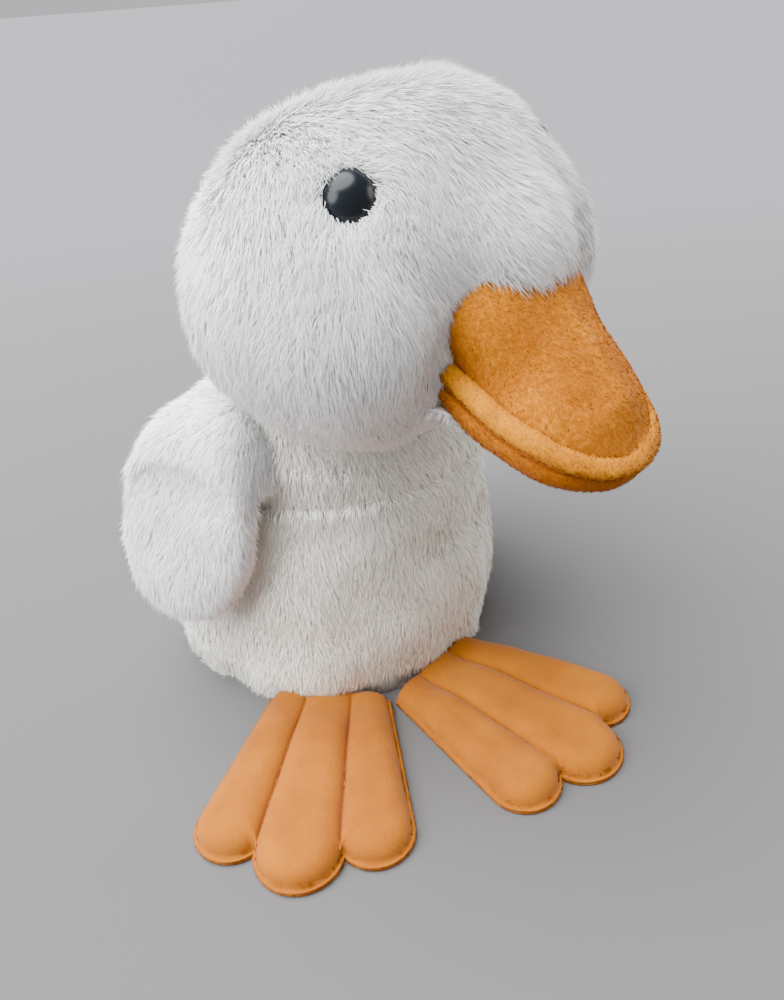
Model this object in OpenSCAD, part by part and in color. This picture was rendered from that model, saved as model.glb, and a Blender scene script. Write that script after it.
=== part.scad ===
// Duck hand puppet with a mouth that opens: a fur sleeve that stands on its open
// hem, a round stuffed head with a flat plush bill, two padded wings and two
// padded feet. The duck faces -Y, its right side is at -X, and Z is up.

/* [Sleeve] */
// Radius of the fur sleeve near the hem
hem_r = 76; // [72:0.5:78]
// Radius of the fur sleeve at its top
top_r = 66; // [63:0.5:68]
// Height of the sleeve panel
sleeve_h = 94; // [88:1:95]
// Forward lean of the sleeve in degrees
lean = 5.8; // [4:0.2:6.4]
// Thickness of the body fur, backing and pile together
body_fur_t = 6; // [5:0.5:7]
// Height of the facing band sewn inside the hem
hem_band_h = 14; // [10:1:20]

/* [Head] */
// Half width of the head, cheek to cheek
head_rx = 78.8; // [76:0.2:80]
// Radius of the head seen from the side
head_r = 62.9; // [61:0.1:64]
// Thickness of the head fur, backing and pile together
head_fur_t = 8; // [7:0.5:9]
// Diameter of the eye domes
eye_d = 18; // [15:0.5:20]

/* [Bill] */
// Downward slope of the closed mouth in degrees
bill_pitch = 26.4; // [22:0.2:28]
// Length of the bill from the mouth corners to the tip
bill_l = 67.5; // [60:0.5:72]
// Half width of the bill at the mouth corners
corner_w = 29.9; // [28:0.1:31]
// Half width of the bill at its widest place
bill_w = 33.2; // [31:0.1:34.5]
// Thickness of the lower bill
lower_t = 8.8; // [7:0.2:10]

/* [Wings] */
// Height of a wing from its root seam to its tip
wing_l = 82; // [72:1:86]
// Width of a wing
wing_w = 72; // [60:1:74]
// Thickness of a wing
wing_t = 15; // [10:0.5:16]

/* [Feet] */
// Length of a foot from the hem seam to the middle toe
foot_l = 83; // [78:0.5:90]
// Width of a foot at the hem seam
foot_base_w = 50; // [44:1:50]
// Thickness of a padded toe
foot_t = 10; // [8:0.5:12]
// Outward splay of each foot in degrees
splay = 25; // [22:0.5:30]
// Twist of the soft hem, which turns both feet to the duck's right
hem_twist = 29.5; // [0:0.5:32]

/* [Hidden] */
$fn = 96;

// gap left between soft layers that lie against each other
gap = 0.3;
lining_t = 1.2;
// shift that puts the origin under the middle of the whole puppet
origin_shift = [19.23, 41.52, 0];

// head centre, and the tilted plane where the head opens to the neck
head_c = [0, -48, 170];
neck_tilt = 27.5;
neck_d = 43;
neck_open_y = head_r * sqrt(1 - pow(neck_d / head_r, 2));
neck_open_x = head_rx * sqrt(1 - pow(neck_d / head_r, 2));
cavity_r = 33;

// mouth hinge, on the line through the two mouth corners
hinge_y = -88;
hinge_z = 151;
side_l = 27.4;
crest_drop = 31;
crest_r = 34;
crest_z = 40;
rim_w = 7;
rim_z0 = 1.4;
rim_z1 = 5.6;
board_t = 1.5;
jaw_sweep_r = 27;

// eye seat on the head's surface and the way it looks
eye_pos = [-51, -31, 36.5];
eye_tilt = 51.3;
eye_turn = -136.3;
stem_d = 5;
washer_d = 17;

// wing root seam
wing_root = [66.5, -4, 117];
wing_hang = 8.5;
wing_splay = 12;
wing_fur_t = 4;

// foot seat at the hem
foot_x = 25.3;
foot_y = 72.6;
toe_mid_r = 16;
toe_mid_c = [0, toe_mid_r - foot_l];
toe_side_r = 14;
toe_side_c = [25.5, 24.5 - foot_l];
sole_t = 1.6;
toe_fur_t = 2;
thread_d = 1.2;

fur_white = [0.93, 0.92, 0.89];
fur_cream = [0.88, 0.86, 0.81];
lining_grey = [0.82, 0.82, 0.84];
bill_yellow = [0.98, 0.70, 0.12];
bill_shade = [0.90, 0.58, 0.06];
foot_orange = [0.97, 0.66, 0.05];
thread_orange = [0.85, 0.45, 0.03];
fill_white = [0.96, 0.96, 0.95];
board_grey = [0.35, 0.35, 0.37];
eye_black = [0.02, 0.02, 0.03];
washer_white = [0.85, 0.85, 0.83];

module placed() {
  translate(origin_shift) children();
}

module slab(z0, z1) {
  translate([-200, -200, z0]) cube([400, 400, z1 - z0]);
}

// ---------- sleeve ----------

// the fur is tucked in close to the floor, where the feet are sewn on
function sleeve_r(s) = hem_r - (hem_r - top_r) * pow(max(s, 0) / sleeve_h, 2);
function hem_tuck(s) = 4 * max(0, 1 - max(s, 0) / 14);

module sleeve_solid(inset, tuck) {
  rotate([lean, 0, 0])
    rotate_extrude()
      polygon(concat(
        [[0, -14]],
        [for (s = [-14, 0, 7, 14, 30, 46, 62, 78, 94, 110])
          [sleeve_r(s) - inset - tuck * hem_tuck(s), s]],
        [[0, 110]]));
}

module sleeve_shell(z0, z1, outer, inner, tuck) {
  difference() {
    intersection() {
      sleeve_solid(outer, tuck);
      slab(z0, z1);
    }
    sleeve_solid(inner, 0);
  }
}

module body_fur() {
  color(fur_cream) placed() sleeve_shell(0, sleeve_h, 0, body_fur_t, 1);
}

module body_lining() {
  color(lining_grey) placed()
    sleeve_shell(hem_band_h + gap, sleeve_h, body_fur_t + gap, body_fur_t + gap + lining_t, 0);
}

module hem_band() {
  color(fur_cream) placed()
    sleeve_shell(0, hem_band_h, body_fur_t + gap, body_fur_t + gap + 3, 0);
}

// ---------- neck ----------

// a tube that runs from the round sleeve top to the oval opening of the head
module neck_tube(inset, reach) {
  hull() {
    translate([0, -sleeve_h * tan(lean), sleeve_h + 0.5 - reach])
      cylinder(r = top_r - inset, h = 1, $fn = 48);
    translate(head_c) rotate([neck_tilt, 0, 0]) translate([0, 0, -neck_d - 1.5 + reach])
      scale([neck_open_x - inset, neck_open_y - inset, 1])
        cylinder(r = 1, h = 1, $fn = 48);
  }
}

module neck_fur() {
  color(fur_white) placed() difference() {
    neck_tube(0, 0);
    neck_tube(body_fur_t, 1.2);
  }
}

module neck_lining() {
  color(lining_grey) placed() difference() {
    neck_tube(body_fur_t + 1, 0);
    neck_tube(body_fur_t + 1 + lining_t, 1.2);
  }
}

// ---------- head ----------

module head_solid(inset) {
  translate(head_c) rotate([0, 90, 0])
    rotate_extrude()
      polygon([for (i = [0 : 28]) let (a = i * 180 / 28)
        [(head_r - inset) * sin(a), (head_rx - inset) * cos(a)]]);
}

module below_neck_plane() {
  translate(head_c) rotate([neck_tilt, 0, 0])
    translate([-150, -150, -neck_d - 200]) cube([300, 300, 200]);
}

// the room for the hand inside the head
module hand_cavity(inset) {
  translate(head_c) rotate([neck_tilt, 0, 0]) union() {
    translate([0, 0, -neck_d - 20]) cylinder(r = cavity_r - inset, h = neck_d + 14);
    translate([0, 0, -6]) sphere(r = cavity_r - inset);
  }
}

module bill_frame() {
  translate([0, hinge_y, hinge_z]) rotate([bill_pitch, 0, 0]) children();
}

// everything that the lower bill sweeps as the mouth opens
module jaw_room() {
  bill_frame() intersection() {
    union() {
      translate([-36.5, -110, -70]) cube([73, 110.2, 70.4]);
      translate([-36.5, 0, 0]) rotate([0, 90, 0]) cylinder(r = jaw_sweep_r, h = 73);
    }
    translate([-60, -120, -80]) cube([120, 160, 80.2]);
  }
}

module finger_way() {
  bill_frame() translate([-22, -3, -1]) cube([44, 34, 21]);
}

module eye_holes(extra) {
  for (side = [0, 1]) placed_eye(side) {
    translate([0, 0, -head_fur_t + 1]) cylinder(d = eye_d + extra, h = 20);
    translate([0, 0, -20]) cylinder(d = stem_d + extra, h = 20);
  }
}

module placed_eye(left) {
  mirror([left, 0, 0]) translate(head_c) translate(eye_pos)
    rotate([0, eye_tilt, eye_turn]) children();
}

module head_fur() {
  color(fur_white) placed() difference() {
    head_solid(0);
    head_solid(head_fur_t);
    below_neck_plane();
    jaw_room();
    bill_frame() upper_block(-0.6, -0.5);
    eye_holes(0.6);
  }
}

module head_stuffing() {
  color(fill_white) placed() difference() {
    head_solid(head_fur_t + gap);
    hand_cavity(-gap);
    below_neck_plane();
    jaw_room();
    bill_frame() upper_block(-0.6, -0.5);
    finger_way();
    for (side = [0, 1]) placed_eye(side)
      translate([0, 0, -head_fur_t - 12]) cylinder(d = washer_d + 2, h = 13);
  }
}

module hand_lining() {
  color(lining_grey) placed() difference() {
    hand_cavity(0);
    hand_cavity(lining_t);
    below_neck_plane();
    jaw_room();
    bill_frame() upper_block(-0.6, -0.5);
    finger_way();
  }
}

// ---------- bill ----------

// outline of the bill, drawn from above and moved inward by inset:
// straight sides that widen from the mouth corners, then a blunt round tip
function tip_pow(c) = pow(max(c, 0), 2 / 2.6);
function bill_outline(inset, back) = let (
    w = bill_w - inset,
    c = corner_w - inset,
    tip = bill_l - inset,
    right = [for (i = [0 : 12]) let (a = i * 90 / 12)
      [w * tip_pow(cos(a)), -side_l - (tip - side_l) * tip_pow(sin(a))]])
  concat(
    [[c, -back]],
    right,
    [for (i = [11 : -1 : 0]) [-right[i][0], right[i][1]]],
    [[-c, -back]]);

module bill_slab(inset, back, z0, z1) {
  translate([0, 0, z0]) linear_extrude(height = z1 - z0)
    polygon(bill_outline(inset, back));
}

// the high back and sloping crest of the upper bill
module upper_block(inset, z0) {
  intersection() {
    translate([0, 0, z0]) linear_extrude(height = 60)
      polygon(concat([[corner_w - inset, 12]], bill_outline(inset, 0), [[-corner_w + inset, 12]]));
    translate([0, 0, crest_z - crest_r / cos(crest_drop)]) rotate([90 + crest_drop, 0, 0])
      translate([0, 0, -60]) cylinder(r = crest_r - inset, h = 180);
  }
}

module upper_bill_cover() {
  color(bill_yellow) placed() bill_frame() difference() {
    upper_block(3.5, rim_z1 + 0.2);
    translate([0, 0.01, 0]) upper_block(6, rim_z1 - 2);
    translate([-60, -1, -5]) cube([120, 40, 70]);
  }
}

module upper_bill_rim() {
  color(bill_yellow) placed() bill_frame() difference() {
    bill_slab(0, 1, rim_z0, rim_z1);
    bill_slab(rim_w, -4, rim_z0 - 1, rim_z1 + 1);
  }
}

module finger_room(inset) {
  intersection() {
    upper_block(9 + inset, 3.4 + inset);
    translate([-30, -47 + inset, 0]) cube([60, 45.5, 22 - inset]);
  }
}

module upper_bill_fill() {
  color(fill_white) placed() bill_frame() difference() {
    intersection() {
      upper_block(6.3, rim_z1 + 0.3);
      translate([-40, -62, 0]) cube([80, 60.5, 50]);
    }
    finger_clearance();
  }
}

// the finger pocket's own space with a little air round it
module finger_clearance() {
  intersection() {
    upper_block(9 - gap, 2);
    translate([-30, -47 - gap, 0]) cube([60, 60, 22 + gap]);
  }
}

module finger_pocket() {
  color(lining_grey) placed() bill_frame() difference() {
    finger_room(0);
    intersection() {
      upper_block(9 + lining_t, 3.4 + lining_t);
      translate([-30, -47 + lining_t, 0]) cube([60, 60, 22 - lining_t]);
    }
  }
}

module upper_bill_board() {
  color(board_grey) placed() bill_frame() bill_slab(rim_w + 1, 2, rim_z0 + 0.1, rim_z0 + 0.1 + board_t);
}

module upper_mouth_lining() {
  color(bill_shade) placed() bill_frame() bill_slab(0.6, 0.6, 0.2, 1.2);
}

module thumb_room(grow) {
  translate([-14 - grow, -26 - grow, -19 - grow])
    cube([28 + 2 * grow, 23.5 + grow, 15.7 + grow * 2]);
}

module lower_bill_cover() {
  color(bill_shade) placed() bill_frame() difference() {
    bill_slab(1.3, 2.5, -1.4 - lower_t, -1.4);
    bill_slab(3.8, 2, 1 - lower_t, 0);
    thumb_room(gap);
  }
}

module lower_bill_fill() {
  color(fill_white) placed() bill_frame() intersection() {
    bill_slab(4.2, 2.5, 1.3 - lower_t, -3.3);
    translate([-60, -100, -20]) cube([120, 72, 40]);
  }
}

module lower_bill_board() {
  color(board_grey) placed() bill_frame() bill_slab(8, 3, -1.5 - board_t, -1.5);
}

module lower_mouth_lining() {
  color(bill_shade) placed() bill_frame() bill_slab(0.9, 0.6, -1.2, -0.2);
}

module thumb_pocket() {
  color(lining_grey) placed() bill_frame() difference() {
    thumb_room(0);
    translate([-14 + lining_t, -26 + lining_t, -19 + lining_t])
      cube([28 - 2 * lining_t, 40, 15.7 - 2 * lining_t]);
  }
}

// the soft fur gusset under the lower bill, which folds as the mouth opens
module chin_fur() {
  color(fur_white) placed() difference() {
    intersection() {
      head_solid(0);
      bill_frame() intersection() {
        union() {
          translate([-35.5, -60, -60]) cube([71, 60, 60]);
          translate([-35.5, 0, 0]) rotate([0, 90, 0]) cylinder(r = jaw_sweep_r - 1, h = 71);
        }
        translate([-40, -60, -60]) cube([80, 110, 60 - lower_t - 1.8]);
      }
    }
    head_solid(head_fur_t);
    below_neck_plane();
    bill_frame() thumb_room(gap);
  }
}

// ---------- eyes ----------

// a half dome with a flat back and a stem that goes through the fur backing
module eye(left) {
  color(eye_black) placed() placed_eye(left) union() {
    translate([0, 0, -head_fur_t + 1.2]) intersection() {
      sphere(d = eye_d);
      translate([-20, -20, 0]) cube([40, 40, 40]);
    }
    translate([0, 0, -head_fur_t - 8]) cylinder(d = stem_d, h = 9.4);
  }
}

module eye_washer(left) {
  color(washer_white) placed() placed_eye(left) difference() {
    translate([0, 0, -head_fur_t - 2.6]) cylinder(d = washer_d, h = 1.6);
    translate([0, 0, -head_fur_t - 4]) cylinder(d = stem_d + 0.1, h = 6);
  }
}

module eye_right() { eye(0); }
module eye_left() { eye(1); }
module eye_washer_right() { eye_washer(0); }
module eye_washer_left() { eye_washer(1); }

// ---------- wings ----------

// side outline of a wing: broad at the root, and swept back toward a rounded tip
function wing_outline(inset) = [for (i = [0 : 35]) let (
    a = i * 10,
    h = (wing_l / 2 - inset) * sin(a),
    across = sign(cos(a)) * pow(abs(cos(a)), 0.8 - 0.4 * sin(a)))
  [(wing_w / 2 - inset) * across - 0.35 * h, h - wing_l / 2]];

// left = 1 gives the wing on the duck's left side
module wing_place(left) {
  mirror([left, 0, 0]) translate([-wing_root[0], wing_root[1], wing_root[2]])
    rotate([0, wing_hang, 0]) rotate([0, 0, wing_splay]) children();
}

module wing_slab(inset) {
  translate([-inset, 0, 0]) rotate([90, 0, -90])
    linear_extrude(height = wing_t - 2 * inset)
      polygon([for (p = wing_outline(inset)) [-p[0], p[1]]]);
}

module wing_fur(left) {
  color(fur_white) placed() wing_place(left) difference() {
    wing_slab(0);
    wing_slab(wing_fur_t);
  }
}

module wing_fill(left) {
  color(fill_white) placed() wing_place(left) wing_slab(wing_fur_t + gap);
}

module wing_right_fur() { wing_fur(0); }
module wing_left_fur() { wing_fur(1); }
module wing_right_fill() { wing_fill(0); }
module wing_left_fill() { wing_fill(1); }

// ---------- feet ----------

module foot_place(side) {
  rotate([0, 0, -hem_twist]) translate([side * foot_x, -foot_y, 0])
    rotate([0, 0, side * splay]) children();
}

// outline of a foot: a web that widens from the hem seam to three round toes
function arc(c, r, from, to) = [for (i = [0 : 10]) let (a = from + (to - from) * i / 10)
  [c[0] + r * cos(a), c[1] + r * sin(a)]];
function flip(points) = [for (i = [len(points) - 1 : -1 : 0]) [-points[i][0], points[i][1]]];
function foot_points() = let (
    d = norm(toe_side_c - toe_mid_c),
    a = (pow(toe_mid_r, 2) - pow(toe_side_r, 2) + d * d) / (2 * d),
    tilt = atan2(toe_side_c[1] - toe_mid_c[1], toe_side_c[0] - toe_mid_c[0]),
    mid_from = tilt - acos(a / toe_mid_r),
    side_to = -180 + tilt + acos((d - a) / toe_side_r),
    half = concat([[foot_base_w / 2, 0]], arc(toe_side_c, toe_side_r, 12, side_to)))
  concat(half, arc(toe_mid_c, toe_mid_r, mid_from, -180 - mid_from), flip(half));

// the padded foot rises from a thin seam edge to its full thickness
module foot_rise(drop) {
  rotate([90, 0, -90]) translate([0, 0, -60]) linear_extrude(height = 120)
    polygon([[-1, -5], [-1, 2.2 - drop], [0, 2.6 - drop], [18, foot_t - drop],
             [foot_l + 5, foot_t - drop], [foot_l + 5, -5]]);
}

module foot_body() {
  intersection() {
    translate([0, 0, sole_t + 0.1]) linear_extrude(height = foot_t) polygon(foot_points());
    foot_rise(0);
  }
}

// a stitched line between two toes
module channel(side, w, h, z) {
  bar([side * 9.3, -7], [side * 15.2, 10 - foot_l], w, h, z);
}

module bar(a, b, w, h, z) {
  d = b - a;
  translate([a[0], a[1], z]) rotate([0, 0, atan2(d[1], d[0])])
    translate([0, -w / 2, 0]) cube([norm(d), w, h]);
}

module foot_top(side) {
  color(foot_orange) placed() foot_place(side) difference() {
    foot_body();
    foot_room(0);
    for (s = [-1, 1]) channel(s, 2, 10, foot_t - 3.4);
  }
}

// outline of the room in the middle toe, and of the room in a side toe
function mid_room(grow) = concat([[-6.8 + grow, -14 - grow], [6.8 - grow, -14 - grow]],
  arc(toe_mid_c, 12 - grow, 0, -180));
function side_room(grow) = concat([[13.2 + grow, -14 - grow], [25 - grow, -14 - grow]],
  arc([toe_side_c[0] + 1.6, toe_side_c[1]], 9.8 - grow, 0, -180));

// the room inside the three toes, split by the two stitched lines
module foot_room(grow) {
  intersection() {
    translate([0, 0, sole_t + 0.1 + grow - (grow > 0 ? 0 : 1)]) linear_extrude(height = foot_t)
      union() {
        polygon(mid_room(grow));
        polygon(side_room(grow));
        mirror([1, 0]) polygon(side_room(grow));
      }
    foot_rise(toe_fur_t + grow);
  }
}

module foot_fill(side) {
  color(fill_white) placed() foot_place(side) foot_room(gap);
}

module foot_sole(side) {
  color(foot_orange) placed() foot_place(side)
    linear_extrude(height = sole_t) polygon(foot_points());
}

module foot_stitching(side) {
  color(thread_orange) placed() foot_place(side)
    for (s = [-1, 1]) channel(s, thread_d, thread_d, foot_t - 3.3);
}

module foot_right_top() { foot_top(-1); }
module foot_right_sole() { foot_sole(-1); }
module foot_right_fill() { foot_fill(-1); }
module foot_right_stitching() { foot_stitching(-1); }
module foot_left_top() { foot_top(1); }
module foot_left_sole() { foot_sole(1); }
module foot_left_fill() { foot_fill(1); }
module foot_left_stitching() { foot_stitching(1); }

body_fur();
body_lining();
hem_band();
neck_fur();
neck_lining();
head_fur();
head_stuffing();
hand_lining();
upper_bill_cover();
upper_bill_rim();
upper_bill_fill();
upper_bill_board();
upper_mouth_lining();
finger_pocket();
lower_bill_cover();
lower_bill_fill();
lower_bill_board();
lower_mouth_lining();
thumb_pocket();
chin_fur();
eye_right();
eye_left();
eye_washer_right();
eye_washer_left();
wing_right_fur();
wing_right_fill();
wing_left_fur();
wing_left_fill();
foot_right_top();
foot_right_sole();
foot_right_fill();
foot_right_stitching();
foot_left_top();
foot_left_sole();
foot_left_fill();
foot_left_stitching();
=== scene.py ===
import math

import bmesh
import bpy
import numpy as np
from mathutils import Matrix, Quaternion, Vector, kdtree


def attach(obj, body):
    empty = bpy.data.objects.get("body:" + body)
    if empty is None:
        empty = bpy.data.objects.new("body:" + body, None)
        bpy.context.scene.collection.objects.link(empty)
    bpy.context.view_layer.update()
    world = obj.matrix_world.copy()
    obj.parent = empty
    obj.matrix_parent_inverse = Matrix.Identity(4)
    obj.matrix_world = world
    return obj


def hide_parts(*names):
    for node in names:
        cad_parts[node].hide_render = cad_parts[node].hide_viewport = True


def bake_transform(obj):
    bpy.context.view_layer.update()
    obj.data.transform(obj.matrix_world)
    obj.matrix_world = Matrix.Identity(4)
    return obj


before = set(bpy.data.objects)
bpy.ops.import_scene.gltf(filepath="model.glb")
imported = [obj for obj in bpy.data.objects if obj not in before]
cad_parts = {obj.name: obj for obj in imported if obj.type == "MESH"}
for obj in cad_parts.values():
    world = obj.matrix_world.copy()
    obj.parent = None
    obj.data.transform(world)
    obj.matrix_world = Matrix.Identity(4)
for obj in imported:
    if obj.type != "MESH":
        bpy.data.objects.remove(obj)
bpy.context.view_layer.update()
scene = bpy.context.scene

# ------------------------------------------------------------------ layout, in millimetres
# The duck faces -Y in its own frame; SHIFT moves that frame to the row frame.
SHIFT = np.array([19.23, 41.52, 0.0])
LEAN = math.radians(5.8)
HEM_R, TOP_R, SLEEVE_H = 76.0, 66.0, 94.0
HEAD_C = np.array([0.0, -48.0, 170.0])
HEAD_R = np.array([78.8, 62.9, 62.9])
NECK_TILT, NECK_D = math.radians(27.5), 43.0
HINGE = np.array([0.0, -88.0, 151.0])
BILL_PITCH = math.radians(26.4)
BILL_L, BILL_W, CORNER_W, SIDE_L = 67.5, 33.4, 30.4, 26.0
BILL_SET = np.array([0.0, -0.4, -1.6])
EYE_AT = np.array([-49.5, -31.5, 38.4])
EYE_N = np.array([-0.564, -0.539, 0.625])
EYE_R = 9.0
SIDES = ("right", "left")
FOOT_X, FOOT_Y, SPLAY, TWIST = 25.3, 72.6, 25.0, 29.5
FOOT_L, FOOT_T = 83.0, 10.0
# How far the fur's backing and the hem facing lie inside the outer surface, and cloth thicknesses.
BACKING_IN, BACKING_T, HEM_IN, LINING_T = 4.6, 1.2, 9.6, 0.5
# How many strands each piece of fur has, the share of them that is grown, and their half widths.
STRANDS = {"head": 270000, "body": 150000, "wing": 56000, "shoulder": 20000, "neck": 20000,
           "chin": 16000, "bill": 30000, "lip": 16000, "lower": 14000, "foot": 30000}
PILE = 1.0
HEAD_PILE_W, PILE_W, BILL_FUZZ_W, LOW_FUZZ_W, FOOT_FUZZ_W = 0.19, 0.18, 0.11, 0.12, 0.09
# Tufts: their size, and how strongly the strands lean together.
HEAD_TUFT, BODY_TUFT, FUZZ_TUFT = (3.0, 0.3), (2.5, 0.3), (2.0, 0.3)


def rows(m):
    return np.atleast_2d(np.asarray(m, float))


def to_world(p):
    return (rows(p) + SHIFT) / 1000.0


def unit(v):
    v = np.asarray(v, float)
    return v / np.maximum(np.linalg.norm(v, axis=-1, keepdims=True), 1e-9)


def turn_x(p, a):
    p = rows(p)
    c, s = math.cos(a), math.sin(a)
    return np.stack([p[:, 0], p[:, 1] * c - p[:, 2] * s, p[:, 1] * s + p[:, 2] * c], -1)


def turn_z(p, a):
    p = rows(p)
    c, s = math.cos(a), math.sin(a)
    return np.stack([p[:, 0] * c - p[:, 1] * s, p[:, 0] * s + p[:, 1] * c, p[:, 2]], -1)


def turn_y(p, a):
    p = rows(p)
    c, s = math.cos(a), math.sin(a)
    return np.stack([p[:, 0] * c + p[:, 2] * s, p[:, 1], -p[:, 0] * s + p[:, 2] * c], -1)


def from_bill(p):
    return turn_x(p, BILL_PITCH) + HINGE + BILL_SET


def smooth(a, b, x):
    t = np.clip((np.asarray(x, float) - a) / (b - a), 0, 1)
    return t * t * (3 - 2 * t)


def circle(n):
    """Angles round a closed ring of n points."""
    return np.linspace(0, 2 * math.pi, n, endpoint=False)


def waves(p, scale, seed):
    """A smooth, seeded noise from a few crossed sine waves, about -1 to 1."""
    rng = np.random.default_rng(seed)
    total = np.zeros(len(p))
    for _ in range(6):
        d = unit(rng.normal(size=3))
        total += np.sin(p @ d * (2 * math.pi / (scale * rng.uniform(0.7, 1.5))) + rng.uniform(0, 6.3))
    return total / 3.2


def with_zero(p):
    """Flat points with a third coordinate of zero."""
    return np.column_stack([p, p[:, 0] * 0])


def seat(obj, body, node):
    """Says which body carries a piece and which CAD node it replaces."""
    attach(obj, body)
    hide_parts(node)


def add_object(name, data):
    obj = bpy.data.objects.new(name, data)
    scene.collection.objects.link(obj)
    return obj


def aim(obj, way):
    """Turns a light or camera to look along a direction."""
    obj.rotation_mode = "QUATERNION"
    obj.rotation_quaternion = Vector(way).to_track_quat("-Z", "Y")


# ------------------------------------------------------------------ camera, floor and light
def camera():
    data = bpy.data.cameras.new("camera")
    data.lens, data.sensor_width = 29.95, 36.0
    cam = add_object("camera", data)
    cam.location = Vector(to_world([-218.6, -243.6, 252.9])[0])
    aim(cam, (0.6256, 0.5788, -0.5231))
    cam.rotation_quaternion = cam.rotation_quaternion @ Quaternion((0, 0, 1), math.radians(-4.3))
    scene.camera = cam


camera()


# ------------------------------------------------------------------ materials
def set_inputs(node, values):
    for name, value in values.items():
        node.inputs[name].default_value = value


def new_material(name):
    mat = bpy.data.materials.new(name)
    mat.use_nodes = True
    nodes, links = mat.node_tree.nodes, mat.node_tree.links
    return mat, nodes, links, nodes["Principled BSDF"]


def wire(links, source, output, target, into):
    links.new(source.outputs[output], target.inputs[into])


def new_noise(nodes, scale, detail):
    noise = nodes.new("ShaderNodeTexNoise")
    set_inputs(noise, {"Scale": scale, "Detail": detail})
    return noise


def multiply_add(nodes, factor):
    node = nodes.new("ShaderNodeMath")
    node.operation = "MULTIPLY_ADD"
    node.inputs[1].default_value = factor
    return node


def plain(name, color, roughness=0.85):
    """A single fibre's material."""
    mat, _, _, bsdf = new_material(name)
    set_inputs(bsdf, {"Base Color": (*color, 1), "Roughness": roughness, "Specular IOR Level": 0.15,
                      "Sheen Weight": 0.0, "Sheen Roughness": 0.5})
    return mat


def cloth(name, dark, light, grain=900.0, patch=60.0, bump=0.25, rough=0.9, sheen=0.25, weave=0.0,
          distance=0.0006):
    """A short-pile or woven cloth: two tones mixed by fine grain and broad patches, with a fine bump."""
    mat, nodes, links, bsdf = new_material(name)
    coord = nodes.new("ShaderNodeTexCoord")
    fine = new_noise(nodes, grain, 4.0)
    fine.inputs["Roughness"].default_value = 0.7
    broad = new_noise(nodes, patch, 3.0)
    both = multiply_add(nodes, 0.55)
    ramp = nodes.new("ShaderNodeValToRGB")
    ramp.color_ramp.elements[0].position = 0.55
    ramp.color_ramp.elements[0].color = (*dark, 1)
    ramp.color_ramp.elements[1].position = 0.95
    ramp.color_ramp.elements[1].color = (*light, 1)
    wire(links, coord, "Object", fine, "Vector")
    wire(links, coord, "Object", broad, "Vector")
    wire(links, fine, "Fac", both, 0)
    wire(links, broad, "Fac", both, 2)
    wire(links, both, 0, ramp, "Fac")
    wire(links, ramp, "Color", bsdf, "Base Color")
    height = fine.outputs["Fac"]
    if weave:
        for axis in "XYZ":
            wave = nodes.new("ShaderNodeTexWave")
            wave.bands_direction = axis
            set_inputs(wave, {"Scale": weave, "Distortion": 0.6})
            add = multiply_add(nodes, 0.35)
            wire(links, coord, "Object", wave, "Vector")
            wire(links, wave, "Fac", add, 0)
            links.new(height, add.inputs[2])
            height = add.outputs[0]
    node = nodes.new("ShaderNodeBump")
    set_inputs(node, {"Strength": bump, "Distance": distance})
    links.new(height, node.inputs["Height"])
    wire(links, node, "Normal", bsdf, "Normal")
    set_inputs(bsdf, {"Roughness": rough, "Specular IOR Level": 0.2, "Sheen Weight": sheen,
                      "Sheen Roughness": 0.45})
    return mat


FUR_SKIN = cloth("fur_backing", (0.80, 0.79, 0.76), (0.90, 0.895, 0.88), 500, 90, 0.5, 0.95, 0.0)
BILL_TOP = cloth("bill_plush", (0.37, 0.098, 0.0005), (0.53, 0.175, 0.001), 650, 70, 0.7, 0.9, 0.08)
# The rim's plush is a lighter, yellower copy of the bill's plush: painted light on the rim's rounded top.
BILL_LIP_PAINTED_LIGHT = cloth("bill_rim_plush", (0.38, 0.122, 0.0005), (0.54, 0.205, 0.001), 650, 80, 0.7, 0.9, 0.08)
# The lower bill's plush is a darker copy of the bill's plush: painted shade under the upper bill.
BILL_LOW_PAINTED_SHADE = cloth("lower_bill_plush", (0.33, 0.085, 0.0005), (0.46, 0.135, 0.001), 650, 80, 0.7, 0.9, 0.06)
MOUTH = cloth("mouth_cloth", (0.34, 0.07, 0.001), (0.48, 0.12, 0.002), 600, 60, 0.3, 0.9, 0.1, 420)
FOOT_TOP = cloth("foot_plush", (0.235, 0.062, 0.0003), (0.305, 0.092, 0.0006), 900, 60, 0.45, 0.9, 0.08)
FOOT_SOLE = cloth("foot_sole_plush", (0.22, 0.056, 0.0003), (0.28, 0.078, 0.0006), 900, 60, 0.45, 0.9, 0.06)
THREAD = cloth("orange_thread", (0.22, 0.035, 0.001), (0.36, 0.07, 0.002), 1500, 200, 0.6, 0.7, 0.1)
LINING = cloth("lining_cloth", (0.55, 0.56, 0.60), (0.68, 0.69, 0.72), 400, 40, 0.25, 0.5, 0.2, 700)
FIBRE = cloth("fibre_fill", (0.78, 0.78, 0.77), (0.92, 0.92, 0.91), 260, 60, 1.0, 0.95, 0.0, 0.0, 0.002)
BOARD = cloth("stiff_board", (0.05, 0.05, 0.055), (0.09, 0.09, 0.10), 500, 50, 0.2, 0.7, 0.0)
WASHER = cloth("washer_plastic", (0.60, 0.60, 0.57), (0.70, 0.70, 0.68), 300, 40, 0.1, 0.45, 0.0)


def tints(name, colours, roughness=0.85):
    return [plain(f"{name}_{i}", c, roughness) for i, c in enumerate(colours)]


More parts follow.
